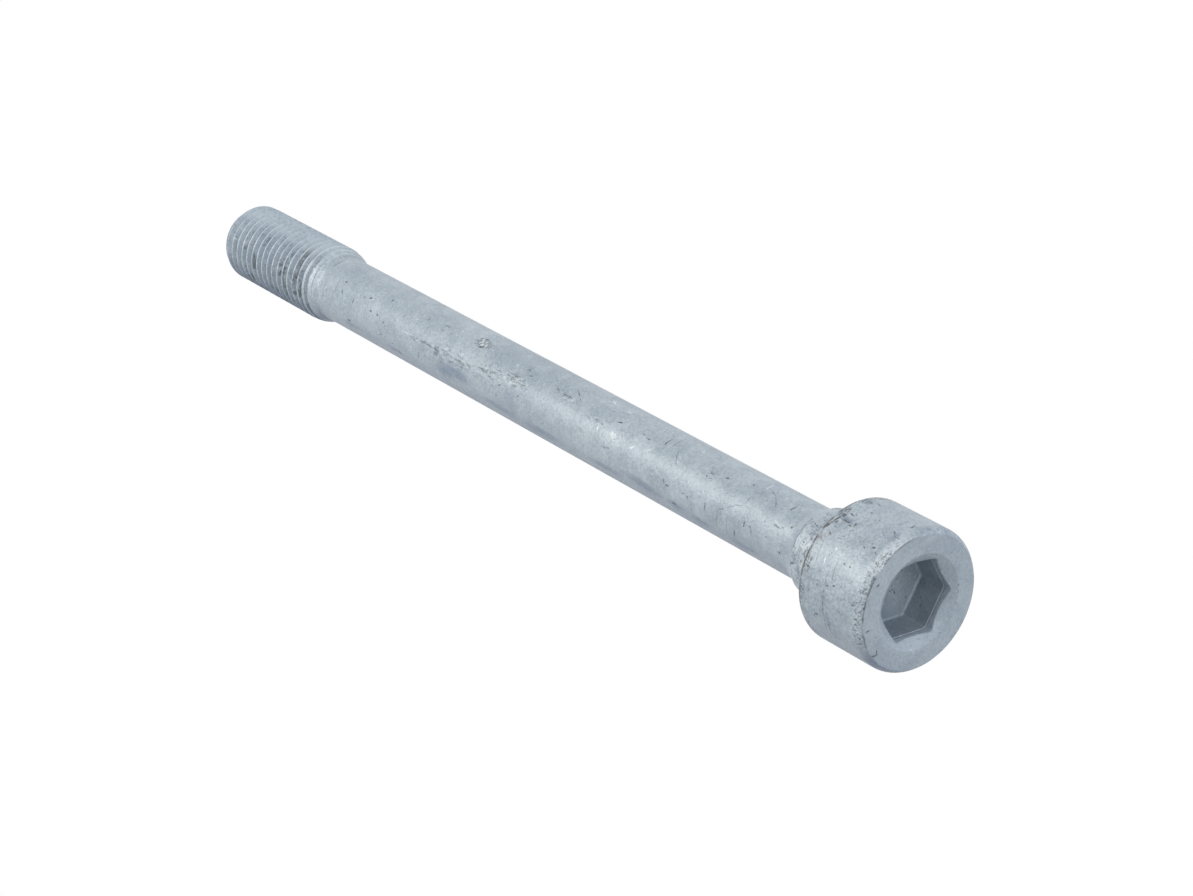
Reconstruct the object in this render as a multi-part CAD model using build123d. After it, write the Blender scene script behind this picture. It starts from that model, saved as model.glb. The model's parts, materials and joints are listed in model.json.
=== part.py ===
from build123d import *
import math
import os

# Hexagon socket cylinder head bolt with a waisted shank, standing on its head.
# Millimetres. +Z runs along the axis from the head to the thread's tip.
# The origin is the centre of the head's flat face, which is the face it stands on.

# Head
head_diameter = 16.0
head_height = 10.0
face_edge_round = 0.9
rear_edge_round = 0.95

# Hexagon socket in the head's face
key_size = 8.0
key_clearance = 0.1
socket_depth = 4.9
socket_corner_round = 0.35
socket_floor_chamfer = 0.45
socket_mouth_round = 0.25
countersink_allowance = 1.35
countersink_angle = 120.0

# Collar under the head, which centres the bolt in its hole
collar_diameter = 9.9
collar_length = 4.45
under_head_fillet = 0.5
neck_length = 2.0

# Waisted shank, shoulder and thread, all measured along the axis
shank_diameter = 8.4
under_head_length = 121.5
thread_diameter = 10.0
thread_length = 19.5
shoulder_length = 3.0
tip_chamfer_length = 1.3
tip_chamfer_depth = 0.8

# Radii and heights that follow from the sizes above
head_radius = head_diameter / 2
collar_radius = collar_diameter / 2
shank_radius = shank_diameter / 2
thread_radius = thread_diameter / 2
half_flats = (key_size + key_clearance) / 2
countersink_radius = half_flats / math.cos(math.pi / 6) + countersink_allowance / 2
tip_z = head_height + under_head_length
thread_start_z = tip_z - thread_length
shoulder_start_z = thread_start_z - shoulder_length
collar_end_z = head_height + collar_length
neck_end_z = collar_end_z + neck_length

# The rounding at the back of the head leaves at least half of the bearing face flat
bearing_width = head_radius - collar_radius - under_head_fillet
rear_round = min(rear_edge_round, bearing_width / 2)


def turned_blank():
    """The bolt before its socket is struck: one profile turned about the axis."""
    with BuildPart() as blank:
        with BuildSketch(Plane.XZ):
            with BuildLine():
                Line((0, 0), (head_radius - face_edge_round, 0))
                TangentArc(
                    (head_radius - face_edge_round, 0),
                    (head_radius, face_edge_round),
                    tangent=(1, 0),
                )
                Line((head_radius, face_edge_round), (head_radius, head_height - rear_round))
                TangentArc(
                    (head_radius, head_height - rear_round),
                    (head_radius - rear_round, head_height),
                    tangent=(0, 1),
                )
                # Bearing face, then the fillet into the collar
                Line(
                    (head_radius - rear_round, head_height),
                    (collar_radius + under_head_fillet, head_height),
                )
                TangentArc(
                    (collar_radius + under_head_fillet, head_height),
                    (collar_radius, head_height + under_head_fillet),
                    tangent=(-1, 0),
                )
                Line((collar_radius, head_height + under_head_fillet), (collar_radius, collar_end_z))
                # Hollow neck, which runs out tangent to the shank
                TangentArc(
                    (shank_radius, neck_end_z),
                    (collar_radius, collar_end_z),
                    tangent=(0, -1),
                )
                Line((shank_radius, neck_end_z), (shank_radius, shoulder_start_z))
                # Domed shoulder, tangent to the thread's outside
                TangentArc(
                    (thread_radius, thread_start_z),
                    (shank_radius, shoulder_start_z),
                    tangent=(0, -1),
                )
                Polyline(
                    (thread_radius, thread_start_z),
                    (thread_radius, tip_z - tip_chamfer_length),
                    (thread_radius - tip_chamfer_depth, tip_z),
                    (0, tip_z),
                    (0, 0),
                )
            make_face()
        revolve(axis=Axis.Z)
    return blank.part


def hexagon_pocket():
    """The socket's straight walls, with a bevelled foot and rounded corners."""
    with BuildPart() as pocket:
        with BuildSketch():
            # Two corners of the hexagon lie on the X axis
            RegularPolygon(half_flats, 6, major_radius=False)
        extrude(amount=socket_depth)
        chamfer(pocket.faces().sort_by(Axis.Z)[-1].edges(), socket_floor_chamfer)
        fillet(pocket.edges().filter_by(Axis.Z), socket_corner_round)
    return pocket.part


def countersink():
    """The cone at the socket's mouth, which cuts the six scallops into its walls."""
    # The tool's end is narrower than the hexagon, so it ends inside the pocket
    end_radius = 0.8 * half_flats
    depth = (countersink_radius - end_radius) / math.tan(math.radians(countersink_angle / 2))
    return Cone(countersink_radius, end_radius, depth, align=(Align.CENTER, Align.CENTER, Align.MIN))


def cylinder_head_bolt():
    """The finished bolt, with the sharp rim between the cone and the walls rounded."""
    bolt = turned_blank() - hexagon_pocket() - countersink()
    cone = bolt.faces().filter_by(GeomType.CONE).sort_by(Axis.Z)[0]
    # The cone's other edges, its outer circle and its seam, reach the head's face
    rim = cone.edges().filter_by(lambda edge: min((edge @ 0).Z, (edge @ 1).Z) > socket_mouth_round / 2)
    return fillet(rim, socket_mouth_round)


os.makedirs("parts", exist_ok=True)
export_step(cylinder_head_bolt(), "parts/cylinder_head_bolt.step")
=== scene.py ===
import json
import math
from collections import namedtuple

import bpy
from bpy.props import FloatProperty, FloatVectorProperty, IntProperty, PointerProperty
from mathutils import Matrix, Vector


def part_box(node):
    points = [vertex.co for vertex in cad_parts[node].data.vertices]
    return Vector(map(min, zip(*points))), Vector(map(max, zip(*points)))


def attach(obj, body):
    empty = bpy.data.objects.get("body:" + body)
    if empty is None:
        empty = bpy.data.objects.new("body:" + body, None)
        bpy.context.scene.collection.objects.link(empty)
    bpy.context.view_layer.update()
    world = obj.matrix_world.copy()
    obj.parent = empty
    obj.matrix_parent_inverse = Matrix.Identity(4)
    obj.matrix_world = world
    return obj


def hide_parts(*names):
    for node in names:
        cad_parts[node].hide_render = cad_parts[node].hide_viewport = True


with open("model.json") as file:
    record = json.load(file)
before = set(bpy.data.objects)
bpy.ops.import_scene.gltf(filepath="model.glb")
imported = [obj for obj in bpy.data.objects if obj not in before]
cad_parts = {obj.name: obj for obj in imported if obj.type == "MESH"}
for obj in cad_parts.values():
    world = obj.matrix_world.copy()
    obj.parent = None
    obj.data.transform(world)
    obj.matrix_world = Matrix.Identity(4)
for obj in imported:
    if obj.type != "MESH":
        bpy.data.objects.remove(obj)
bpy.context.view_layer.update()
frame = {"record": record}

bl_info = {
    "name": "Cylinder Head Bolt",
    "version": (1, 0, 0),
    "blender": (4, 5, 0),
    "location": "3D View > Sidebar > Bolt",
    "description": "A coated cylinder head bolt with a waisted shank and a rolled thread",
    "category": "Add Mesh",
}

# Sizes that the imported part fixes. The bolt stands on its head, and +Z runs to the thread's tip.
MM = 0.001
NODE = "cylinder_head_bolt"
BODY = "root"
node_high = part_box(NODE)[1]
mounts = {mount["name"]: mount for mount in frame["record"]["mounts"]}
thread_mount = mounts["thread"]
THREAD_RADIUS = thread_mount["dims"]["r_mm"] * MM
CHAMFER_HEIGHT = thread_mount["pos_m"][2] + thread_mount["dims"]["length_mm"] * MM / 2
BEARING_HEIGHT = mounts["bearing_face"]["pos_m"][2]

# How finely the turned shape is drawn, and how close two points are one
TURN_STEPS = 144
ROW_STEP = 0.5 * MM
TOUCHING = 0.001 * MM


class BoltHeadSizes(bpy.types.PropertyGroup):
    """The head, and the collar and hollow neck behind it"""

    radius: FloatProperty(
        name="Head radius", description="Outside radius of the head",
        default=node_high.x, unit="LENGTH")
    height: FloatProperty(
        name="Head height", description="From the face to the bearing face under the head",
        default=BEARING_HEIGHT, unit="LENGTH")
    face_radius: FloatProperty(
        name="Flat face radius", description="Where the flat face meets its rounded edge",
        default=7.46 * MM, unit="LENGTH")
    face_edge_height: FloatProperty(
        name="Face edge height", description="How far up the barrel the rounded edge reaches",
        default=1.1 * MM, unit="LENGTH")
    rear_edge_round: FloatProperty(
        name="Rear edge radius", description="Rounding between the barrel and the bearing face",
        default=0.95 * MM, unit="LENGTH")
    collar_radius: FloatProperty(
        name="Collar radius", description="Outside radius of the collar under the head",
        default=4.95 * MM, unit="LENGTH")
    collar_length: FloatProperty(
        name="Collar length", description="From the bearing face to the end of the collar",
        default=4.45 * MM, unit="LENGTH")
    under_head_fillet: FloatProperty(
        name="Under-head fillet", description="Radius between the bearing face and the collar",
        default=0.5 * MM, unit="LENGTH")
    neck_length: FloatProperty(
        name="Neck length", description="Length of the hollow run from the collar to the shank",
        default=2.0 * MM, unit="LENGTH")


class BoltSocketSizes(bpy.types.PropertyGroup):
    """The hexagon socket in the face, with its countersink"""

    half_flats: FloatProperty(
        name="Half across flats", description="From the axis to one wall of the socket",
        default=4.05 * MM, unit="LENGTH")
    corner_round: FloatProperty(
        name="Corner radius", description="Rounding between two walls",
        default=0.45 * MM, unit="LENGTH")
    depth: FloatProperty(
        name="Socket depth", description="From the face to the socket's floor",
        default=4.9 * MM, unit="LENGTH")
    foot: FloatProperty(
        name="Foot radius", description="Rounding between the walls and the floor",
        default=0.32 * MM, unit="LENGTH")
    lip_depth: FloatProperty(
        name="Lip depth", description="From the face to the small ledge inside the mouth",
        default=1.4 * MM, unit="LENGTH")
    lip_step: FloatProperty(
        name="Lip step", description="How much wider the socket is in front of that ledge",
        default=0.08 * MM, unit="LENGTH")
    countersink_radius: FloatProperty(
        name="Countersink radius", description="Radius of the countersink in the face",
        default=5.35 * MM, unit="LENGTH")
    countersink_angle: FloatProperty(
        name="Countersink angle", description="Full angle of the cone",
        default=math.radians(110.0), subtype="ANGLE")


class BoltShankSizes(bpy.types.PropertyGroup):
    """The waisted shank and the domed shoulder in front of the thread"""

    radius: FloatProperty(
        name="Shank radius", description="Radius of the waisted shank",
        default=4.2 * MM, unit="LENGTH")
    shoulder_start: FloatProperty(
        name="Shoulder start", description="Height at which the shank starts to swell",
        default=109.0 * MM, unit="LENGTH")
    shoulder_end: FloatProperty(
        name="Shoulder end", description="Height at which the thread's full radius is reached",
        default=112.0 * MM, unit="LENGTH")


class BoltThreadSizes(bpy.types.PropertyGroup):
    """The rolled thread and the bevelled tip"""

    radius: FloatProperty(
        name="Thread radius", description="Outside radius of the thread",
        default=THREAD_RADIUS, unit="LENGTH")
    pitch: FloatProperty(
        name="Pitch", description="Distance between two crests",
        default=1.25 * MM, unit="LENGTH")
    root_radius: FloatProperty(
        name="Root radius", description="Radius at the bottom of the groove",
        default=4.233 * MM, unit="LENGTH")
    first_groove: FloatProperty(
        name="First groove", description="Height of the first full groove, on the side facing -Y",
        default=111.93 * MM, unit="LENGTH")
    runout_turns: FloatProperty(
        name="Run-out", description="Turns over which the groove reaches its full depth",
        default=2.6)
    tip_bevel: FloatProperty(
        name="Tip bevel depth", description="How much the tip's radius is reduced",
        default=0.8 * MM, unit="LENGTH")


class BoltCoatLook(bpy.types.PropertyGroup):
    """The matte zinc flake coat, its marks and dirt, and its painted light and shade"""

    # Also painted light on the thread's +X side
    light: FloatVectorProperty(
        name="Light coat", description="Coat where it is thick and clean",
        default=(0.50, 0.57, 0.625), subtype="COLOR", min=0.0, max=1.0)
    dark: FloatVectorProperty(
        name="Dark coat", description="Coat where it is thin or rubbed",
        default=(0.235, 0.295, 0.36), subtype="COLOR", min=0.0, max=1.0)
    soot: FloatVectorProperty(
        name="Nick colour", description="Bare steel and dirt in nicks and pits",
        default=(0.07, 0.08, 0.085), subtype="COLOR", min=0.0, max=1.0)
    # Also painted shade: on the -X side of the coat, on the neck, and on the thread's flanks and
    # -X crests
    smear_and_shade: FloatVectorProperty(
        name="Smear colour", description="Blue-black smears, and shadowed coat in the thread",
        default=(0.17, 0.22, 0.31), subtype="COLOR", min=0.0, max=1.0)
    rust: FloatVectorProperty(
        name="Rust colour", description="Faint brown stains",
        default=(0.26, 0.20, 0.17), subtype="COLOR", min=0.0, max=1.0)
    # Also a painted highlight on the head's rim and on the thread's crests
    bright: FloatVectorProperty(
        name="Bright colour", description="Polished flecks and crests",
        default=(0.80, 0.85, 0.88), subtype="COLOR", min=0.0, max=1.0)
    metallic: FloatProperty(
        name="Metallic", description="How metallic the coat looks",
        default=0.1, min=0.0, max=1.0, subtype="FACTOR")
    roughness: FloatProperty(
        name="Roughness", description="Roughness of the clean coat",
        default=0.42, min=0.0, max=1.0, subtype="FACTOR")


class BoltStageLook(bpy.types.PropertyGroup):
    """The floor, the lamps and the photograph's camera"""

    floor_radius: FloatProperty(
        name="Floor radius", description="Where the floor has faded into the background",
        default=0.45, unit="LENGTH")
    floor_gap: FloatProperty(
        name="Floor gap", description="How far the floor lies under the head's face",
        default=0.2 * MM, unit="LENGTH")
    fill: FloatProperty(
        name="Fill", description="Strength of the even light from all sides",
        default=0.5, min=0.0)
    image_width: IntProperty(
        name="Photograph width", description="Pixels across the photograph", default=1193)
    focal_pixels: FloatProperty(
        name="Focal length in pixels", description="Focal length of the photograph's camera",
        default=3097.9)


# Small helpers for modelling


def deselect_all():
    """Object mode, with nothing selected."""
    if bpy.context.mode != "OBJECT":
        bpy.ops.object.mode_set(mode="OBJECT")
    bpy.ops.object.select_all(action="DESELECT")


def choose(piece):
    """Makes one object the only selected and the active one."""
    deselect_all()
    piece.select_set(True)
    bpy.context.view_layer.objects.active = piece


def edit_mode(select="SELECT", kind=None):
    """Edit mode on the active object, with all or none of it selected."""
    bpy.ops.object.mode_set(mode="EDIT")
    if kind:
        bpy.ops.mesh.select_mode(type=kind)
    bpy.ops.mesh.select_all(action=select)


def object_mode():
    bpy.ops.object.mode_set(mode="OBJECT")


def close_up(piece):
    """Merges points that meet and turns all faces outwards."""
    choose(piece)
    edit_mode()
    bpy.ops.mesh.remove_doubles(threshold=TOUCHING)
    bpy.ops.mesh.normals_make_consistent(inside=False)
    object_mode()


def drawn_profile(points, angle=0.0):
    """A wire through (radius, height) points, in the half plane at that angle round the axis."""
    places = [Vector((r * math.cos(angle), r * math.sin(angle), z)) for r, z in points]
    deselect_all()
    bpy.ops.mesh.primitive_plane_add(size=MM)
    edit_mode(kind="VERT")
    bpy.ops.mesh.merge(type="CENTER")
    bpy.ops.transform.translate(value=places[0])
    for before, after in zip(places, places[1:]):
        bpy.ops.mesh.extrude_region_move(TRANSFORM_OT_translate={"value": after - before})
    object_mode()
    return bpy.context.object


def quarter_round(centre, radius, start, turn, steps):
    """Points on a rounded edge, from the angle start, in degrees, over turn degrees."""
    angles = [math.radians(start + turn * step / steps) for step in range(steps + 1)]
    return [
        (centre[0] + radius * math.cos(angle), centre[1] + radius * math.sin(angle))
        for angle in angles]


def tangent_arc(tangent_point, far_point, steps):
    """Points on the arc that leaves the first point along the axis and ends at the second."""
    (r0, z0), (r1, z1) = tangent_point, far_point
    rise, run = r1 - r0, z1 - z0
    bend = (rise * rise + run * run) / (2 * abs(rise))
    side = math.copysign(bend, rise)
    sweep = math.asin(run / bend)
    angles = [sweep * step / steps for step in range(steps + 1)]
    return [
        (r0 + side * (1 - math.cos(angle)), z0 + bend * math.sin(angle)) for angle in angles]


def barrel_rows(radius, low, high):
    """Points up a straight stretch, so that each face lies under one coat."""
    count = max(1, round((high - low) / ROW_STEP))
    return [(radius, low + (high - low) * row / count) for row in range(1, count)]


def cut_away(piece, tool):
    """Takes the tool's volume out of the piece, and removes the tool."""
    cut = piece.modifiers.new("cut", "BOOLEAN")
    cut.operation = "DIFFERENCE"
    cut.solver = "EXACT"
    cut.object = tool
    choose(piece)
    bpy.ops.object.modifier_apply(modifier=cut.name)
    bpy.data.objects.remove(tool)


def round_edges(piece, wanted, width, segments):
    """Bevels the edges for which wanted(edge's two ends, its two face normals) is true."""
    choose(piece)
    edit_mode("DESELECT", "EDGE")
    object_mode()
    mesh = piece.data
    faces_of = {}
    for polygon in mesh.polygons:
        for key in polygon.edge_keys:
            faces_of.setdefault(key, []).append(polygon.normal.copy())
    for edge in mesh.edges:
        normals = faces_of.get(edge.key, [])
        ends = [mesh.vertices[index].co for index in edge.vertices]
        edge.select = len(normals) == 2 and wanted(ends, normals)
    bpy.ops.object.mode_set(mode="EDIT")
    bpy.ops.mesh.bevel(offset=width, segments=segments, clamp_overlap=True)
    object_mode()


# The bolt


def blank_profile(head, shank, thread):
    """The turned outline, from the middle of the face round to the middle of the tip."""
    collar_end = head.height + head.collar_length
    neck_end = collar_end + head.neck_length
    edge_width = head.radius - head.face_radius
    edge_steps, fillet_steps, neck_steps, shoulder_steps = 8, 5, 10, 12
    points = [(0.0, 0.0), (head.face_radius, 0.0)]
    # The rim starts with a crisp line round the face and runs out into the barrel
    start = math.radians(45)
    across = edge_width / (1 - math.sin(start))
    along = head.face_edge_height / math.cos(start)
    for step in range(1, edge_steps + 1):
        angle = start + math.radians(45) * step / edge_steps
        points.append((
            head.radius - across * (1 - math.sin(angle)),
            head.face_edge_height - along * math.cos(angle)))
    rear_start = head.height - head.rear_edge_round
    points += barrel_rows(head.radius, head.face_edge_height, rear_start)
    rear_round, fillet = head.rear_edge_round, head.under_head_fillet
    points += quarter_round(
        (head.radius - rear_round, rear_start), rear_round, 0, 90, edge_steps)
    fillet_centre = (head.collar_radius + fillet, head.height + fillet)
    points += quarter_round(fillet_centre, fillet, -90, -90, fillet_steps)
    points += barrel_rows(head.collar_radius, fillet_centre[1], collar_end)
    points += reversed(tangent_arc(
        (shank.radius, neck_end), (head.collar_radius, collar_end), neck_steps))
    points += barrel_rows(shank.radius, neck_end, shank.shoulder_start)
    points += reversed(tangent_arc(
        (thread.radius, shank.shoulder_end), (shank.radius, shank.shoulder_start), shoulder_steps))
    return points + [
        (thread.radius, CHAMFER_HEIGHT), (thread.radius - thread.tip_bevel, node_high.z),
        (0.0, node_high.z)]


def turned_blank(head, shank, thread):
    """The bolt before its socket and thread: its outline spun round the axis."""
    blank = drawn_profile(blank_profile(head, shank, thread))
    edit_mode()
    bpy.ops.mesh.spin(
        steps=TURN_STEPS, angle=2 * math.pi, center=(0, 0, 0), axis=(0, 0, 1), use_auto_merge=True)
    close_up(blank)
    return blank


def hexagon_tool(socket):
    """The socket's space, drawn out ring by ring from in front of the face to the floor."""
    corner_segments, foot_steps = 4, 4
    start = -0.5 * MM
    mouth = socket.half_flats + socket.lip_step
    deselect_all()
    bpy.ops.mesh.primitive_circle_add(
        vertices=6, radius=mouth / math.cos(math.pi / 6), fill_type="NGON",
        location=(0, 0, start), rotation=(0, 0, math.pi / 6))
    bpy.ops.object.transform_apply()
    tool = bpy.context.object
    edit_mode()
    tangent_length = socket.corner_round * math.tan(math.pi / 6)
    bpy.ops.mesh.bevel(offset=tangent_length, segments=corner_segments, affect="VERTICES")
    rings = [
        (socket.lip_depth, mouth), (socket.lip_depth + socket.lip_step, socket.half_flats)]
    foot_centre = (socket.half_flats - socket.foot, socket.depth - socket.foot)
    foot = quarter_round(foot_centre, socket.foot, 0, 90, foot_steps)
    rings += [(height, half) for half, height in foot]
    height, half = start, mouth
    for ring_height, ring_half in rings:
        bpy.ops.mesh.extrude_region_move(
            TRANSFORM_OT_translate={"value": (0, 0, ring_height - height)})
        share = ring_half / half
        bpy.ops.transform.resize(value=(share, share, 1), center_override=(0, 0, ring_height))
        height, half = ring_height, ring_half
    close_up(tool)
    return tool


def countersink_tool(socket):
    """The cone at the socket's mouth. Its narrow end stays inside the hexagon."""
    slope = math.tan(socket.countersink_angle / 2)
    in_front = 0.3 * MM
    wide = socket.countersink_radius + in_front * slope
    narrow = 0.75 * socket.half_flats
    depth = (wide - narrow) / slope
    deselect_all()
    bpy.ops.mesh.primitive_cone_add(
        vertices=TURN_STEPS, radius1=wide, radius2=narrow, depth=depth,
        location=(0, 0, depth / 2 - in_front))
    bpy.ops.object.transform_apply()
    return bpy.context.object


def groove_section(thread):
    """One groove across the thread as (radius, height) points, with its root and crests eased."""
    flank = math.tan(math.radians(30))
    sharp_root = thread.root_radius - 0.18 * MM
    flank_end = thread.radius - 0.10 * MM
    # Millimetres out from the root or the crest, and up from the groove's middle
    root_curve = ((0.0, 0.0), (0.014, 0.075), (0.057, 0.135))
    crest_curve = ((-0.03, 0.545), (0.01, 0.618), (0.3, 0.618))
    half = [(thread.root_radius + out * MM, up * MM) for out, up in root_curve]
    half.append((flank_end, (flank_end - sharp_root) * flank))
    half += [(thread.radius + out * MM, up * MM) for out, up in crest_curve]
    below = [(radius, -height) for radius, height in reversed(half[1:])]
    return below + half


def groove_tool(thread):
    """The thread's groove as a solid helix, which runs out into the shoulder and over the tip."""
    start_angle = math.radians(-170)
    lead = thread.pitch * (start_angle + math.pi / 2) / (2 * math.pi)
    start_height = thread.first_groove + lead - 2 * thread.pitch
    turns = math.ceil((node_high.z - start_height) / thread.pitch) + 1
    section = [(radius, start_height + height) for radius, height in groove_section(thread)]
    tool = drawn_profile(section, start_angle)
    edit_mode()
    bpy.ops.mesh.edge_face_add()
    bpy.ops.mesh.delete(type="ONLY_FACE")
    object_mode()
    screw = tool.modifiers.new("screw", "SCREW")
    screw.axis = "Z"
    screw.angle = 2 * math.pi
    screw.screw_offset = thread.pitch
    screw.iterations = turns
    screw.steps = screw.render_steps = TURN_STEPS
    screw.use_merge_vertices = False
    bpy.ops.object.modifier_apply(modifier=screw.name)
    # The first turns are shallow, narrow and closer together, as a rolled thread runs out
    shallow, narrow, closer, closer_turns = 0.25 * MM, 0.38, 0.33 * MM, 1.222
    for index, vertex in enumerate(tool.data.vertices):
        turn = index // len(section) / TURN_STEPS
        faded = max(0.0, 1 - turn / thread.runout_turns)
        radius = math.hypot(vertex.co.x, vertex.co.y)
        if radius < thread.radius + 0.2 * MM:
            vertex.co.xy *= (radius + shallow * faded) / radius
        above_middle = section[index % len(section)][1] - start_height
        vertex.co.z += closer * max(0.0, 1 - turn / closer_turns) - narrow * faded * above_middle
    edit_mode("DESELECT", "VERT")
    bpy.ops.mesh.select_non_manifold()
    bpy.ops.mesh.edge_face_add()
    close_up(tool)
    return tool


def ease_socket_edges(bolt, socket):
    """Rounds the scalloped rim between the cone and the walls, and the cone's outer circle."""
    rim_ease, circle_ease = 0.13 * MM, 0.06 * MM
    slope = -math.sin(socket.countersink_angle / 2)

    def on_rim(ends, normals):
        steep = [abs(normal.z) < 0.05 for normal in normals]
        coned = [abs(normal.z - slope) < 0.06 for normal in normals]
        inside = all(0.3 * MM < end.z < 1.3 * MM for end in ends)
        return inside and any(steep) and any(coned)

    def on_circle(ends, normals):
        near = all(abs(end.xy.length - socket.countersink_radius) < 0.05 * MM for end in ends)
        flat = [normal.z < -0.99 for normal in normals]
        return near and all(end.z < 0.05 * MM for end in ends) and any(flat) and not all(flat)

    round_edges(bolt, on_rim, rim_ease, segments=3)
    round_edges(bolt, on_circle, circle_ease, segments=2)


def smooth_shading(bolt):
    """Smooth faces, crisp only at real corners, with the flat faces kept flat."""
    corner_angle = math.radians(38)
    choose(bolt)
    bpy.ops.object.shade_smooth_by_angle(angle=corner_angle)
    weighted = bolt.modifiers.new("weighted normals", "WEIGHTED_NORMAL")
    weighted.keep_sharp = True
    bpy.ops.object.modifier_apply(modifier=weighted.name)


# The coat


def opaque(colour):
    return (*colour, 1.0)


class ShadeTree:
    """The node tree of a material or a world, written as calls that return sockets."""

    def __init__(self, owner):
        owner.use_nodes = True
        self.tree = owner.node_tree
        self.tree.nodes.clear()

    def node(self, kind, inputs=None, **settings):
        """A node with its settings, and with links or values on the inputs named or counted."""
        made = self.tree.nodes.new("ShaderNode" + kind)
        for name, value in settings.items():
            setattr(made, name, value)
        for name, value in (inputs or {}).items():
            if isinstance(value, bpy.types.NodeSocket):
                self.tree.links.new(value, made.inputs[name])
            else:
                made.inputs[name].default_value = value
        return made

    def math(self, operation, *values, clamp=False):
        made = self.node("Math", dict(enumerate(values)), operation=operation, use_clamp=clamp)
        return made.outputs[0]

    def vector(self, operation, *values):
        made = self.node("VectorMath", dict(enumerate(values)), operation=operation)
        return made.outputs["Value" if operation == "LENGTH" else "Vector"]

    def times(self, first, *factors):
        """The product of all that is given."""
        for factor in factors:
            first = self.math("MULTIPLY", first, factor)
        return first

    def scaled(self, value, factor, start):
        """start + value * factor"""
        return self.math("MULTIPLY_ADD", value, factor, start)

    def off(self, value, middle):
        """How far the value is from the middle."""
        return self.math("ABSOLUTE", self.math("SUBTRACT", value, middle))

    def fade(self, value, low, high):
        """0 at low, 1 at high, smooth between. Low may be the larger."""
        ends = {"Value": value, "From Min": low, "From Max": high}
        return self.node("MapRange", ends, interpolation_type="SMOOTHSTEP").outputs[0]

    def noise(self, place, scale, detail=2.0, roughness=0.5):
        grain = {"Vector": place, "Scale": scale, "Detail": detail, "Roughness": roughness}
        return self.node("TexNoise", grain).outputs["Fac"]

    def mix(self, share, first, second):
        return self.node("Mix", {0: share, 6: first, 7: second}, data_type="RGBA").outputs[2]

    def paint(self, colour, paint, *shares):
        """The colour under paint that covers the product of the shares."""
        return self.mix(self.times(*shares), colour, opaque(paint))


# Marks on the turned surface. Each row is a mark: its height in mm, its angle round the axis in
# degrees from +X, its length and width in mm, and how far it leans from the axis towards growing
# angles, in degrees.
NICKS = (
    # Head
    (4.45, -104, 0.4, 0.22, -20), (5.35, -106.5, 0.55, 0.18, -25), (3.35, -86, 0.26, 0.22, 0),
    (4.2, -86, 0.32, 0.16, 90), (2.2, -65.5, 0.45, 0.28, 10), (1.45, -68.3, 0.6, 0.12, 30),
    (3.2, -68.5, 0.5, 0.14, 5), (6.35, -40, 0.38, 0.24, 15), (8.2, -29.5, 0.5, 0.28, 25),
    (7.4, -26, 0.5, 0.16, 35), (1.35, -32, 0.7, 0.2, 80), (1.05, -49.5, 0.9, 0.15, 8),
    (1.8, -46.5, 0.6, 0.13, 45), (7.6, -57.3, 1.2, 0.24, 0), (6.3, -56.5, 0.6, 0.24, 70),
    (6.75, -59.2, 0.45, 0.14, -10), (8.5, -61, 0.4, 0.26, -60), (8.35, -53, 0.6, 0.2, 85),
    (7.8, -50, 0.8, 0.16, 10), (6.7, -133, 0.6, 0.2, -15), (7.1, -135, 0.45, 0.15, -60),
    (5.0, -138, 0.3, 0.22, 0), (0.6, -119, 0.4, 0.28, 30), (1.2, -110, 0.4, 0.18, -25),
    (8.93, -63, 2.6, 0.2, 106), (8.05, -71.6, 0.5, 0.16, 20),
    # Collar
    (14.15, -118, 0.6, 0.18, -30), (13.35, -87, 0.28, 0.18, 20), (13.6, -61, 0.3, 0.2, 20),
    (13.2, -62, 0.28, 0.18, 0), (14.7, -68, 0.5, 0.2, 10), (14.6, -57, 0.4, 0.4, 60),
    (14.7, -104, 0.45, 0.14, 80), (14.75, -91, 0.5, 0.14, 85),
    # Shank
    (16.6, -78, 0.34, 0.24, 0), (17.1, -120, 0.32, 0.22, 30), (18.4, -50, 0.9, 0.16, -80),
    (22.0, -110, 0.9, 0.16, 75), (22.3, -106, 0.36, 0.2, 30), (23.2, -107, 0.8, 0.14, -80),
    (32.9, -113, 0.5, 0.16, 0), (33.7, -111, 0.6, 0.14, -30), (24.7, -129, 0.75, 0.26, -80),
    (29.8, -113, 0.95, 0.16, 75), (30.6, -71, 0.45, 0.16, -20), (31.4, -71, 0.32, 0.2, 0),
    (28.7, -58, 0.65, 0.18, -5), (25.3, -47, 0.32, 0.18, 20), (39.8, -51, 1.35, 0.19, 90),
    (42.3, -63, 0.62, 0.18, -5), (43.4, -60, 0.32, 0.15, 0), (36.5, -113, 0.6, 0.18, 0),
    (37.1, -108, 0.6, 0.18, 60), (35.3, -137, 0.6, 0.26, -10), (47.8, -61, 0.9, 0.16, -10),
    (58.0, -64, 1.0, 0.12, 5), (59.5, -61, 0.5, 0.16, 10), (64.7, -63.5, 0.5, 0.18, -5),
    (71.0, -97, 0.6, 0.14, 5), (68.8, -101, 0.5, 0.18, -20), (65.0, -102, 0.5, 0.14, -20),
    (85.7, -125, 0.95, 0.13, 88), (90.2, -142, 0.8, 0.26, 80), (93.7, -103, 0.5, 0.2, 0),
    (95.3, -96.5, 0.42, 0.26, 10), (96.8, -96, 0.42, 0.28, 10), (94.3, -62, 0.38, 0.26, 10),
    (98.0, -76.5, 0.6, 0.24, -20), (99.1, -80, 0.3, 0.2, 0), (100.9, -95, 0.7, 0.18, 70),
    (103.7, -90, 0.75, 0.22, 60), (104.0, -72.5, 0.5, 0.2, 0), (101.5, -133, 0.8, 0.26, 0),
    (94.1, -125, 0.5, 0.18, 0), (107.4, -113.5, 0.42, 0.14, -25),
)
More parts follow.
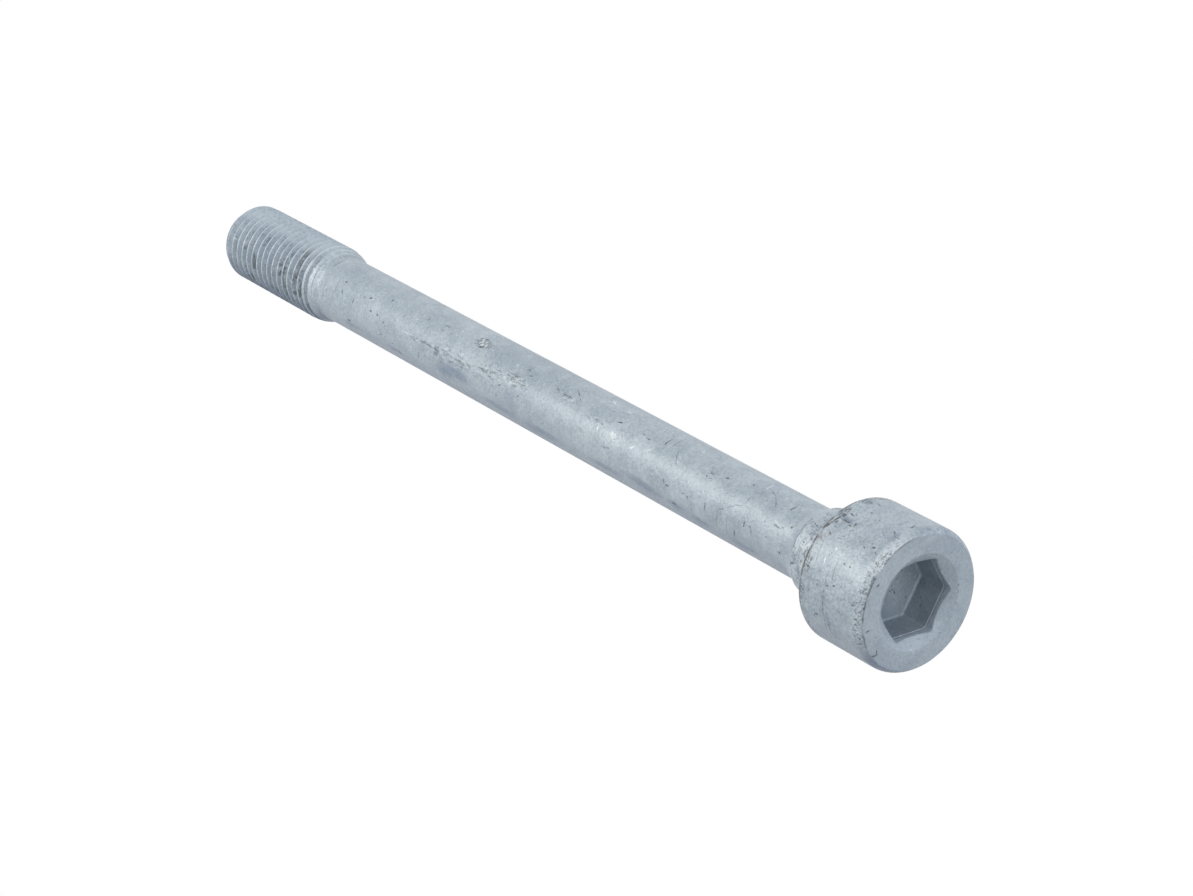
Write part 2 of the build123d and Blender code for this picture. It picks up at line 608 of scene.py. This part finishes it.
# Hair cracks and fine drawn scratches
HAIRLINES = (
    (5.6, -125, 7.5, 0.11, 88), (5.0, -95, 2.4, 0.1, 85), (8.1, -85, 2.6, 0.1, 80),
    (2.6, -52, 1.6, 0.1, 30), (7.0, -72, 1.4, 0.1, -10), (3.1, -121, 1.2, 0.1, 20),
    (20.6, -59, 1.9, 0.12, 48), (22.0, -45, 1.7, 0.1, 25), (24.1, -71, 1.3, 0.12, 92),
    (23.6, -55, 0.95, 0.13, -40), (24.95, -86.5, 0.8, 0.11, -17), (25.9, -93, 1.4, 0.11, -31),
    (27.0, -102.5, 1.2, 0.11, -33), (26.0, -120, 2.2, 0.1, 90), (27.7, -120, 2.2, 0.1, 90),
    (37.0, -66, 2.1, 0.12, 56), (38.7, -42, 2.4, 0.11, 88), (47.9, -107, 1.4, 0.12, -10),
    (48.2, -103, 1.2, 0.12, 60), (56.2, -53, 2.6, 0.12, 31), (61.2, -47, 0.8, 0.12, 30),
    (66.2, -84.5, 3.6, 0.14, -5), (67.3, -74.5, 2.6, 0.13, -4), (66.0, -79.5, 2.2, 0.12, -5),
    (69.8, -81, 1.3, 0.13, 0), (72.4, -90, 2.2, 0.13, -6), (77.6, -98, 2.4, 0.14, -3),
    (85.0, -99.5, 4.6, 0.2, 0), (84.0, -120, 0.85, 0.12, 88), (83.4, -122, 0.45, 0.12, 20),
    (82.8, -56, 1.6, 0.1, -5), (82.8, -67, 0.6, 0.22, 20), (86.3, -61, 1.0, 0.1, 60),
    (86.5, -64, 0.8, 0.1, -30), (92.5, -97, 0.42, 0.15, 0), (107.6, -103, 2.0, 0.15, 88),
    (108.3, -46, 2.2, 0.15, 90), (106.6, -70, 1.5, 0.12, 85), (105.2, -84, 1.6, 0.14, 88),
    (110.45, -72, 4.4, 0.2, 87), (110.1, -34, 3.2, 0.14, 92), (110.35, -109, 1.8, 0.2, 86),
)
# Broad, soft blue-black patches: dirt, and along the shank's -X side, near -140 degrees, painted
# shade of its darker, bluer edge and of shallow dents
SMEARS_AND_SHADE = (
    (7.6, -56, 1.6, 0.7, 10), (8.6, -30, 1.4, 1.2, 60), (1.3, -50, 1.6, 0.8, 80),
    (4.9, -136, 2.4, 0.5, 88), (23.0, -146, 4.5, 0.8, 0), (30.6, -144, 3.6, 0.9, 0),
    (35.3, -139, 2.6, 0.9, 0), (41.0, -134, 7.0, 1.2, 4), (48.0, -142, 5.5, 0.9, 0),
    (60.0, -143, 7.0, 1.1, 0), (69.0, -141, 6.5, 1.0, 2), (79.6, -126, 4.6, 1.8, -6),
    (77.6, -120, 5.6, 1.5, 8), (91.0, -142, 4.0, 0.6, 0), (101.0, -140, 5.0, 0.5, 0),
    (111.6, -112, 0.6, 2.6, 0), (113.2, -75, 0.6, 0.9, 0), (113.1, -57, 0.6, 0.8, 0),
    (115.5, -60, 0.6, 1.0, 0), (118.0, -108, 0.6, 1.4, 0), (118.0, -56, 0.6, 0.9, 0),
    (121.7, -100, 0.6, 1.2, 0), (123.0, -69, 0.6, 1.1, 0), (125.2, -124, 0.6, 1.2, 0),
)
# Faint brown stains
STAINS = (
    (9.1, -74, 2.2, 0.5, 90), (5.4, -118, 2.0, 0.35, 85), (5.2, -150, 0.8, 0.5, 0),
    (30.8, -57, 1.6, 0.7, 10), (52.6, -101, 1.2, 0.4, 10),
)
# Small polished spots
FLECKS = (
    (6.2, -79, 0.4, 0.2, 60), (6.8, -91, 1.1, 0.16, 80), (0.55, -82, 0.6, 0.22, 60),
    (2.8, -54, 0.5, 0.16, -30), (23.6, -35, 1.1, 0.22, 80), (35.0, -35, 0.7, 0.2, 70),
    (43.8, -87, 0.9, 0.24, -30), (47.1, -83, 0.5, 0.22, 20), (47.4, -85, 1.1, 0.5, 40),
    (88.5, -99, 2.6, 0.12, -3), (50.2, -85, 0.8, 0.18, 70), (48.4, -35, 0.9, 0.2, 10),
    (51.6, -31, 0.8, 0.2, 20), (68.0, -58, 0.6, 0.16, 30), (88.0, -70, 0.6, 0.18, -20),
    (126.2, -95, 0.35, 0.22, 0), (128.7, -97, 0.35, 0.22, 0),
)
# Bands rubbed by something that rolled or slid along, with many short dashes in them
RUBS = (
    (12.4, -100, 2.6, 6.5, 0), (18.4, -84, 3.0, 0.9, 0), (30.9, -69, 2.2, 1.2, 20),
    (51.0, -76, 4.2, 1.2, 0), (57.6, -66, 4.2, 0.9, 0), (65.8, -60, 2.2, 1.1, 0),
    (67.0, -83, 6.5, 2.2, -5), (71.8, -91, 5.6, 1.9, -6), (78.8, -99, 9.5, 2.4, -4),
    (82.0, -101, 3.2, 1.9, 0), (86.0, -100, 4.6, 0.8, 0), (113.2, -118, 4.4, 6.2, 0),
    (117.0, -104, 5.0, 3.0, 0),
)
# Small craters: a dark broken ring round a speckled middle
CRATERS = (
    (75.5, -51, 2.6, 1.4, 0),
)
# Marks on flat faces. Each row is x, y, length and width in mm, and the lean from +Y towards +X.
FACE_MARKS = (
    (3.06, 4.23, 0.42, 0.34, 20), (2.55, 4.62, 0.85, 0.12, -62), (1.6, 5.02, 0.95, 0.11, -75),
    (-4.56, -5.17, 0.6, 0.24, 35), (0.09, -6.7, 0.55, 0.16, 70), (-6.72, -2.85, 0.85, 0.2, 25),
    (-6.35, -2.6, 0.75, 0.18, -70), (-0.52, 0.78, 0.26, 0.22, 30), (-0.22, 0.98, 0.22, 0.2, 0),
    (-0.42, 1.46, 0.4, 0.18, -20),
)

# A length of the bolt with a coat of its own: its heights and radius in mm, how mottled it is,
# and how light
Stretch = namedtuple("Stretch", "name low high radius unevenness lift")
STRETCHES = (
    Stretch("head", 0.0, 10.0, 8.0, 1.05, 0.20),
    Stretch("collar", 10.0, 16.2, 4.95, 2.6, 0.45),
    Stretch("shank_1", 16.2, 32.6, 4.2, 0.68, 0.17),
    Stretch("shank_2", 32.6, 54.0, 4.2, 0.68, 0.17),
    Stretch("shank_3", 54.0, 74.1, 4.2, 0.62, 0.10),
    Stretch("shank_4", 74.1, 97.4, 4.2, 0.62, 0.10),
    Stretch("shank_5", 97.4, 109.5, 4.2, 0.65, 0.08),
    Stretch("thread", 109.5, 132.0, 4.95, 0.8, 0.18),
)

# Where a point of the coat lies, as sockets in mm and radians. Its turn is 0 on the side facing
# -Y, a small stray makes marks ragged, and marks are looked up at its unrolled place.
Skin = namedtuple("Skin", "place flat height radius turn behind stray unrolled")

# In all fades, heights and radii are in mm, turns in radians, and noise has its middle at 0.5.
# These run over the radius, onto the barrel and onto the flat face
TO_BARREL = (7.3, 7.6)
TO_FACE = (5.6, 5.9)
# These run over the turn, onto the side with painted shade and onto the thread's side with painted
# light
TO_SHADED_SIDE = (-0.55, -1.15)
TO_LIT_SIDE = (0.35, 0.80)


def skin_places(s, stretch):
    """The Skin of a stretch. Its far side has the near side's marks, mirrored and end for end."""
    place = s.vector("MULTIPLY", s.node("TexCoord").outputs["Object"], [1 / MM] * 3)
    x, y, height = s.node("SeparateXYZ", {"Vector": place}).outputs
    flat = s.vector("MULTIPLY", place, (1, 1, 0))
    radius = s.vector("LENGTH", flat)
    turn = s.math("ARCTAN2", x, s.math("ABSOLUTE", y))
    around = s.times(turn, radius)
    behind = s.math("GREATER_THAN", y, 0.0)
    to_other_end = s.scaled(height, -2.0, stretch.low + stretch.high)
    mark_height = s.scaled(behind, to_other_end, height)
    ragged = s.node("TexNoise", {"Vector": place, "Scale": 3.4, "Detail": 3.0})
    stray = s.vector("MULTIPLY_ADD", ragged.outputs["Color"], (0.4, 0.4, 0.0), (-0.2, -0.2, 0.0))
    unrolled = s.node("CombineXYZ", {"X": around, "Y": mark_height}).outputs[0]
    unrolled = s.vector("ADD", unrolled, stray)
    return Skin(place, flat, height, radius, turn, behind, stray, unrolled)


def marks_of(rows, stretch):
    """The rows that lie on the stretch, as marks on its unrolled skin: x, y, size and lean."""
    return [
        (math.radians(angle + 90) * stretch.radius, height, length, width, lean)
        for height, angle, length, width, lean in rows if stretch.low <= height < stretch.high]


def nearness(s, place, marks):
    """How far a place is from the nearest mark: 0 on its middle, 1 at its edge."""
    nearest = 9.0  # Farther than any mark is seen
    for x, y, length, width, lean in marks:
        into_mark = s.node("Mapping", {
            "Vector": place, "Location": (x, y, 0), "Rotation": (0, 0, math.radians(-lean)),
            "Scale": (width / 2, length / 2, 1)}, vector_type="TEXTURE")
        nearest = s.math("MINIMUM", nearest, s.vector("LENGTH", into_mark.outputs[0]))
    return nearest


def marked(s, colour, place, marks, edge, paint, *shares):
    """The colour with marks painted on, which fade in from nearness edge[0] to edge[1]."""
    if not marks:
        return colour
    return s.paint(colour, paint, s.fade(nearness(s, place, marks), *edge), *shares)


def hazy_with_side_shade(s, colour, skin, stretch, look):
    """The colour with bluer clouds, and with painted shade that makes the -X side darker and bluer
    towards its edge.
    """
    haze_and_shade = s.times(s.fade(s.noise(skin.place, 0.24, 2.0, 0.6), 0.48, 0.64), 0.16)
    if stretch.name == "head":
        # The painted shade on that side is full on the barrel and in the socket, less on the flat
        # face, none on the countersink
        barrel = s.fade(skin.radius, *TO_BARREL)
        share = s.times(s.fade(skin.radius, *TO_FACE), 0.4)
        in_socket = s.fade(skin.height, 1.1, 1.4)
        share = s.math("MAXIMUM", share, s.math("MAXIMUM", barrel, in_socket))
        haze_and_shade = s.scaled(s.times(s.fade(skin.turn, *TO_SHADED_SIDE), share), 0.38, haze_and_shade)
        haze_and_shade = s.scaled(s.times(s.fade(skin.turn, -1.00, -1.32), barrel), 0.50, haze_and_shade)
    elif stretch.name != "collar":
        # Painted shade: darker and bluer towards the -X side, and most at its edge
        haze_and_shade = s.scaled(s.fade(skin.turn, *TO_SHADED_SIDE), 0.38, haze_and_shade)
        haze_and_shade = s.scaled(s.fade(skin.turn, -1.05, -1.35), 0.40, haze_and_shade)
    return s.paint(colour, look.smear_and_shade, haze_and_shade)


def bare_coat(s, skin, stretch, look):
    """The coat before its marks: the colour, and how much mottle and how many pits it has."""
    clouds = s.noise(skin.place, 0.11)
    blotches = s.noise(skin.place, 0.60)
    mottle = s.noise(skin.place, 2.7, 4.0, 0.90)
    contrast = 3.4 * stretch.unevenness
    if stretch.name == "head":
        # The face and the socket are smoother than the barrel
        contrast = s.scaled(s.fade(skin.radius, *TO_BARREL), 0.5 * contrast, 0.5 * contrast)
    elif stretch.name == "collar":
        contrast = s.scaled(s.fade(skin.height, 14.5, 14.8), -0.75 * contrast, contrast)
    elif stretch.name == "thread":
        # The thread's +X side is smoother, as part of its painted light
        contrast = s.scaled(s.fade(skin.turn, *TO_LIT_SIDE), -0.6 * contrast, contrast)
    tone = s.math("ADD", mottle, s.scaled(blotches, 0.30, -0.65))
    tone = s.times(tone, contrast)
    tone = s.math("ADD", tone, s.scaled(clouds, 0.7, stretch.lift))
    tone = s.fade(tone, -0.25, 1.25)
    colour = s.mix(tone, opaque(look.dark), opaque(look.light))
    colour = hazy_with_side_shade(s, colour, skin, stretch, look)
    patches = s.noise(skin.place, 0.55)
    grain = s.noise(skin.place, 3.6, 2.0, 0.6)
    pits = s.times(s.fade(grain, 0.36, 0.28), s.fade(patches, 0.40, 0.60), 0.75)
    colour = s.paint(colour, look.soot, pits)
    specks = s.times(s.fade(grain, 0.64, 0.74), s.fade(patches, 0.60, 0.44), 0.55)
    colour = s.paint(colour, look.bright, specks)
    return colour, mottle, pits


def with_marks(s, colour, skin, stretch, look):
    """The colour with the stretch's single marks, which are fainter here and there."""
    uneven = s.fade(s.noise(skin.place, 1.9, 2.0, 0.6), 0.30, 0.62)
    # None of them reaches into the socket
    shares = [s.fade(skin.radius, *TO_FACE)] if stretch.name == "head" else []
    for rows, edge, least, most, paint in (
            # These patches are dirt, and painted shade along the -X side
            (SMEARS_AND_SHADE, (1.5, 0.3), 0.45, 0.80, look.smear_and_shade),
            (STAINS, (1.5, 0.3), 0.0, 0.40, look.rust),
            (HAIRLINES, (1.5, 0.6), 0.20, 0.70, look.soot),
            (NICKS, (1.25, 0.70), 0.65, 0.95, look.soot),
            (FLECKS, (1.4, 0.4), 0.20, 0.70, look.bright)):
        strength = s.scaled(uneven, most - least, least)
        marks = marks_of(rows, stretch)
        colour = marked(s, colour, skin.unrolled, marks, edge, paint, strength, *shares)
    return colour


def rubbed_bands(s, colour, skin, stretch, look):
    """Dark and light dashes along the shank and round the collar, and dots on the thread."""
    rubs = marks_of(RUBS, stretch)
    if not rubs:
        return colour
    inside = s.fade(nearness(s, skin.unrolled, rubs), 1.25, 0.45)
    finer = {"collar": (0.75, 2.3, 1.0), "thread": (2.1, 2.1, 1.0)}
    dash_place = s.vector("MULTIPLY", skin.unrolled, finer.get(stretch.name, (2.3, 0.75, 1.0)))
    dashes = s.noise(dash_place, 1.0, 3.0, 0.75)
    colour = s.paint(colour, look.bright, inside, s.fade(dashes, 0.47, 0.36), 0.30)
    return s.paint(colour, look.soot, inside, s.fade(dashes, 0.53, 0.60), 0.70)


def craters(s, colour, skin, stretch, look):
    """Dark broken rings with a speckled middle, on the side facing -Y only."""
    marks = marks_of(CRATERS, stretch)
    if not marks:
        return colour
    near = nearness(s, skin.unrolled, marks)
    speckle = s.noise(skin.unrolled, 2.6, 2.0, 0.7)
    near = s.math("ADD", near, s.scaled(speckle, 0.8, -0.4))
    front = s.math("SUBTRACT", 1.0, skin.behind)
    colour = s.paint(
        colour, look.bright, s.fade(near, 1.0, 0.7), s.fade(speckle, 0.50, 0.60), front, 0.60)
    darker_outwards = s.scaled(s.fade(near, 0.2, 0.9), 0.55, 0.35)
    return s.paint(
        colour, look.soot, s.fade(near, 1.25, 0.95), darker_outwards,
        s.fade(speckle, 0.58, 0.42), front)


def head_dirt_sheen_and_shade(s, colour, skin, look):
    """Marks on the face, a painted highlight and specks on the rim, painted shade with dirt at the
    rear edge, and a darker socket.
    """
    place, height, radius, turn = skin.place, skin.height, skin.radius, skin.turn
    face_line_radius, rear_band_height = 7.50, 8.85
    normal = s.node("TexCoord").outputs["Normal"]
    normal_z = s.node("SeparateXYZ", {"Vector": normal}).outputs[2]
    colour = marked(
        s, colour, s.vector("ADD", skin.flat, skin.stray), FACE_MARKS, (1.35, 0.65),
        look.soot, s.math("LESS_THAN", normal_z, -0.9), 0.85)
    rough = s.noise(place, 3.9, 3.0, 0.75)
    patches = s.noise(place, 0.45, 1.0)
    # The rim is painted lighter towards +X as a painted highlight, and speckled light and dark on
    # the other side
    middle_band = s.times(s.fade(turn, -1.15, -0.75), s.fade(turn, 1.10, 0.75))
    speckled_side = s.fade(turn, 0.85, 0.40)
    rim = s.times(s.fade(height, 1.5, 0.5), s.fade(radius, 7.40, 7.50), middle_band)
    speckled = s.times(speckled_side, s.fade(rough, 0.42, 0.60), 0.42)
    rubbed = s.scaled(s.fade(turn, -0.10, 0.45), 0.30, speckled)
    colour = s.paint(colour, look.bright, rubbed, rim)
    colour = s.paint(colour, look.soot, s.fade(rough, 0.48, 0.36), speckled_side, rim, 0.72)
    # A line of dirt round the flat face
    line = s.times(s.fade(s.off(radius, face_line_radius), 0.12, 0.04), s.fade(height, 0.14, 0.08))
    colour = s.paint(colour, look.soot, line, middle_band, s.fade(patches, 0.38, 0.56), 0.65)
    # Rear edge: a speckled band on the barrel and a ragged line beyond it, painted dark, mostly as
    # painted shade where the head meets the collar, partly as dirt
    band = s.times(
        s.fade(s.off(height, rear_band_height), 0.60, 0.20), s.fade(rough, 0.47, 0.55),
        s.fade(patches, 0.38, 0.54), 0.88)
    ragged_height = s.scaled(rough, 0.5, height)
    edge = s.times(
        s.fade(ragged_height, 9.40, 9.52), s.fade(ragged_height, 9.98, 9.86),
        s.fade(s.noise(place, 0.9, 2.0, 0.6), 0.37, 0.48), 0.92)
    colour = s.paint(colour, look.soot, s.math("MAXIMUM", band, edge))
    # Socket: painted darker in patches
    in_socket = s.times(s.fade(height, 1.15, 1.40), s.fade(height, 4.85, 4.55))
    socket_darkening = s.scaled(patches, 0.4, 0.12)
    return s.paint(colour, look.soot, in_socket, s.fade(radius, 5.0, 4.85), socket_darkening)


def collar_dirt_and_shade(s, colour, skin, look):
    """A dark broken line where the collar ends, and the neck painted darker and bluer as painted
    shade.
    """
    collar_end = 14.66
    broken = s.fade(s.noise(skin.place, 0.8, 3.0, 0.65), 0.42, 0.52)
    line = s.fade(s.off(skin.height, collar_end), 0.24, 0.10)
    colour = s.paint(colour, look.soot, line, broken, 0.75)
    # Painted shade on the neck
    return s.paint(colour, look.smear_and_shade, s.fade(skin.height, 14.6, 14.8), 0.22)


def thread_wear_and_painted_light(s, colour, skin, look):
    """Painted shade in the grooves and on the -X crests, a painted highlight with wear on the
    other crests, dirt, and painted light on the +X side.
    """
    place, height, radius, turn = skin.place, skin.height, skin.radius, skin.turn
    worn = s.noise(s.vector("MULTIPLY", place, (0.55, 0.55, 1.3)), 1.0, 4.0, 0.65)
    streaks = s.noise(s.vector("MULTIPLY", place, (1.6, 1.6, 0.35)), 1.0, 3.0, 0.6)
    lit_side = s.fade(turn, *TO_LIT_SIDE)
    # Painted light: the +X side painted lighter, in streaks
    streaky = s.scaled(s.fade(streaks, 0.35, 0.60), 0.5, 0.3)
    colour = s.paint(colour, look.light, lit_side, streaky)
    # Less contrast on the +X side with painted light, at the tip and at the run-out
    contrast = s.times(
        s.scaled(lit_side, -0.9, 1.0), s.fade(height, 130.5, 125.0), s.fade(height, 110.2, 111.2))
    # Painted shade on the flanks, in the grooves; the dirt below lies there too
    flank = s.times(s.fade(radius, 4.95, 4.86), contrast)
    colour = s.paint(colour, look.smear_and_shade, flank, 0.20)
    # Dirt, most of it near the run-out
    dirt = s.scaled(s.fade(height, 119.0, 112.0), 0.04, worn)
    colour = s.paint(colour, look.soot, flank, s.fade(dirt, 0.53, 0.63), 0.65)
    # Painted shade on the -X crests, and a painted highlight with wear on the other crests
    crest = s.times(s.fade(radius, 4.965, 4.99), contrast)
    shaded_side = s.fade(turn, -0.60, -1.05)
    colour = s.paint(colour, look.smear_and_shade, crest, shaded_side, 0.5)
    rubbed = s.scaled(s.fade(worn, 0.60, 0.40), 0.25, 0.15)
    return s.paint(colour, look.bright, crest, s.math("SUBTRACT", 1.0, shaded_side), rubbed)


OWN_DIRT_AND_PAINTED_LIGHT = {"head": head_dirt_sheen_and_shade, "collar": collar_dirt_and_shade, "thread": thread_wear_and_painted_light}


def coat_material(stretch, look):
    """The matte grey-blue zinc flake coat with this stretch's marks, dirt, and painted light and
    shade.

    A shader has room for about sixty marks, so each stretch holds only its own."""
    material = bpy.data.materials.new("coat_" + stretch.name)
    material.diffuse_color = opaque(look.light)
    s = ShadeTree(material)
    skin = skin_places(s, stretch)
    colour, mottle, pits = bare_coat(s, skin, stretch, look)
    for add in (with_marks, rubbed_bands, craters):
        colour = add(s, colour, skin, stretch, look)
    if stretch.name in OWN_DIRT_AND_PAINTED_LIGHT:
        colour = OWN_DIRT_AND_PAINTED_LIGHT[stretch.name](s, colour, skin, look)
    # Relief of the coat, which makes its sheen grainy
    relief = s.times(s.noise(skin.place, 2.4, 1.0), 0.05)
    bump = s.node("Bump", {"Strength": 1.0, "Distance": 0.001, "Height": relief})
    roughness = s.scaled(mottle, 0.30, look.roughness - 0.15)
    roughness = s.math("MULTIPLY_ADD", pits, 0.4, roughness, clamp=True)
    shader = s.node("BsdfPrincipled", {
        "Base Color": colour, "Roughness": roughness, "Normal": bump.outputs[0],
        "Metallic": look.metallic, "IOR": 1.5})
    s.node("OutputMaterial", {"Surface": shader.outputs[0]})
    return material


def coat_bolt(bolt, look):
    """Gives each stretch of the bolt the coat with the marks it has there."""
    bolt.data.materials.clear()
    for stretch in STRETCHES:
        bolt.data.materials.append(coat_material(stretch, look))
    for face in bolt.data.polygons:
        face.material_index = sum(face.center.z > stretch.high * MM for stretch in STRETCHES)


class MESH_OT_cylinder_head_bolt(bpy.types.Operator):
    """Models the bolt, with its socket and thread, and coats it"""

    bl_idname = "mesh.cylinder_head_bolt"
    bl_label = "Cylinder head bolt"
    bl_options = {"REGISTER", "UNDO"}

    def execute(self, context):
        scene = context.scene
        head, socket = scene.bolt_head, scene.bolt_socket
        shank, thread = scene.bolt_shank, scene.bolt_thread
        bolt = turned_blank(head, shank, thread)
        bolt.name = bolt.data.name = "bolt"
        cut_away(bolt, groove_tool(thread))
        close_up(bolt)
        cut_away(bolt, hexagon_tool(socket))
        cut_away(bolt, countersink_tool(socket))
        close_up(bolt)
        ease_socket_edges(bolt, socket)
        smooth_shading(bolt)
        coat_bolt(bolt, scene.bolt_coat)
        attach(bolt, BODY)
        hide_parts(NODE)
        return {"FINISHED"}


# The stage

# Each lamp's name, the height at which it aims on the axis, its direction from there in degrees
# round from +X and up, its distance, size and power, and its colour
LAMPS = (
    ("key", 0.01, -89, 38, 0.25, 0.14, 0.25, (1.0, 0.95, 0.86)),
    ("upper_side", 0.06, 20, 40, 0.60, 0.45, 0.20, (0.88, 0.94, 1.0)),
    ("lower_side", 0.06, -105, 12, 0.60, 0.45, 0.36, (0.85, 0.93, 1.0)),
    ("face_side", 0.0, -38, -50, 0.60, 0.45, 0.82, (0.95, 0.97, 1.0)),
    ("face_top", 0.0, 22, -35, 0.60, 0.40, 0.74, (0.90, 0.95, 1.0)),
)


def white_background(world, fill):
    """White for the camera, reflections and clear glass, and a plain even light for the rest."""
    s = ShadeTree(world)
    rays = s.node("LightPath").outputs
    seen = s.math("MAXIMUM", rays["Is Camera Ray"], rays["Is Glossy Ray"])
    seen = s.math("MAXIMUM", seen, rays["Is Transmission Ray"])
    white = s.node("Background", {"Color": (1, 1, 1, 1), "Strength": 1.0})
    even = s.node("Background", {"Color": (0.97, 0.985, 1.0, 1), "Strength": fill})
    both = s.node("MixShader", {0: seen, 1: even.outputs[0], 2: white.outputs[0]})
    s.node("OutputWorld", {"Surface": both.outputs[0]})


def floor_material(look):
    """Pale floor that fades into the white background, and can't be seen from below."""
    material = bpy.data.materials.new("pale_floor")
    s = ShadeTree(material)
    from_middle = s.vector("LENGTH", s.node("TexCoord").outputs["Object"])
    fade_start, fade_end = 0.35 * look.floor_radius, 0.95 * look.floor_radius
    away = s.fade(from_middle, fade_start, fade_end)
    paint = s.node("BsdfDiffuse", {"Color": (0.86, 0.865, 0.87, 1)})
    glow = s.node("Emission", {"Color": (1, 1, 1, 1), "Strength": 0.12})
    pale = s.node("AddShader", {0: paint.outputs[0], 1: glow.outputs[0]})
    white = s.node("Emission", {"Color": (1, 1, 1, 1), "Strength": 1.0})
    top = s.node("MixShader", {0: away, 1: pale.outputs[0], 2: white.outputs[0]})
    clear = s.node("BsdfTransparent")
    under = s.node("NewGeometry").outputs["Backfacing"]
    sheet = s.node("MixShader", {0: under, 1: top.outputs[0], 2: clear.outputs[0]})
    s.node("OutputMaterial", {"Surface": sheet.outputs[0]})
    return material


def soft_lamp(name, aim_height, around, above, distance, size, power, colour):
    """A round area lamp that the camera can't see."""
    turn, rise = math.radians(around), math.radians(above)
    across = math.cos(rise)
    away = Vector((math.cos(turn) * across, math.sin(turn) * across, math.sin(rise)))
    deselect_all()
    bpy.ops.object.light_add(type="AREA", location=Vector((0, 0, aim_height)) + away * distance)
    lamp = bpy.context.object
    lamp.name = name
    lamp.rotation_euler = away.to_track_quat("Z", "Y").to_euler()
    lamp.data.shape = "DISK"
    lamp.data.size = size
    lamp.data.energy = power
    lamp.data.color = colour
    lamp.visible_camera = False


def photograph_camera(look):
    """The camera where the photograph was taken from, with the thread's end farthest away."""
    place = Vector((21.6, -237.86, -205.88)) * MM
    look_along = Vector((-0.0673, 0.6743, 0.7354)).normalized()
    roughly_up = Vector((0.9058, -0.2677, 0.3284))
    right = look_along.cross(roughly_up).normalized()
    up = right.cross(look_along)
    deselect_all()
    bpy.ops.object.camera_add()
    camera = bpy.context.object
    camera.name = "photograph"
    camera.data.sensor_fit = "HORIZONTAL"
    camera.data.sensor_width = 36.0
    camera.data.lens = look.focal_pixels / look.image_width * camera.data.sensor_width
    camera.data.clip_start = 0.01
    camera.data.dof.use_dof = False
    turn = Matrix((right, up, -look_along)).transposed().to_4x4()
    camera.matrix_world = Matrix.Translation(place) @ turn
    return camera


class SCENE_OT_bolt_stage(bpy.types.Operator):
    """Adds the pale floor, the soft lamps, the white background and the camera"""

    bl_idname = "scene.bolt_stage"
    bl_label = "Stage"
    bl_options = {"REGISTER", "UNDO"}

    def execute(self, context):
        scene = context.scene
        look = scene.bolt_stage_look
        deselect_all()
        bpy.ops.mesh.primitive_circle_add(
            vertices=96, radius=look.floor_radius, fill_type="NGON")
        floor = context.object
        floor.name = "floor"
        floor.location.z = -look.floor_gap
        floor.data.materials.append(floor_material(look))
        for ray in ("diffuse", "glossy", "transmission", "shadow", "volume_scatter"):
            setattr(floor, f"visible_{ray}", False)
        for lamp in LAMPS:
            soft_lamp(*lamp)
        if scene.world is None:
            scene.world = bpy.data.worlds.new("studio")
        white_background(scene.world, look.fill)
        scene.camera = photograph_camera(look)
        scene.view_settings.view_transform = "Standard"
        return {"FINISHED"}


class VIEW3D_PT_cylinder_head_bolt(bpy.types.Panel):
    """Sizes, colours and the operators that build the bolt and its stage"""

    bl_label = "Cylinder Head Bolt"
    bl_idname = "VIEW3D_PT_cylinder_head_bolt"
    bl_space_type = "VIEW_3D"
    bl_region_type = "UI"
    bl_category = "Bolt"

    def draw(self, context):
        for name, group in GROUPS.items():
            box = self.layout.box()
            box.label(text=group.__name__)
            for prop in group.__annotations__:
                box.prop(getattr(context.scene, name), prop)
        self.layout.operator(MESH_OT_cylinder_head_bolt.bl_idname)
        self.layout.operator(SCENE_OT_bolt_stage.bl_idname)


GROUPS = {
    "bolt_head": BoltHeadSizes,
    "bolt_socket": BoltSocketSizes,
    "bolt_shank": BoltShankSizes,
    "bolt_thread": BoltThreadSizes,
    "bolt_coat": BoltCoatLook,
    "bolt_stage_look": BoltStageLook,
}
CLASSES = (
    *GROUPS.values(),
    MESH_OT_cylinder_head_bolt,
    SCENE_OT_bolt_stage,
    VIEW3D_PT_cylinder_head_bolt,
)


def register():
    for cls in CLASSES:
        bpy.utils.register_class(cls)
    for name, group in GROUPS.items():
        setattr(bpy.types.Scene, name, PointerProperty(type=group))


def unregister():
    for name in GROUPS:
        delattr(bpy.types.Scene, name)
    for cls in reversed(CLASSES):
        bpy.utils.unregister_class(cls)


def main():
    register()
    bpy.ops.mesh.cylinder_head_bolt()
    bpy.ops.scene.bolt_stage()


if __name__ == "__main__":
    main()
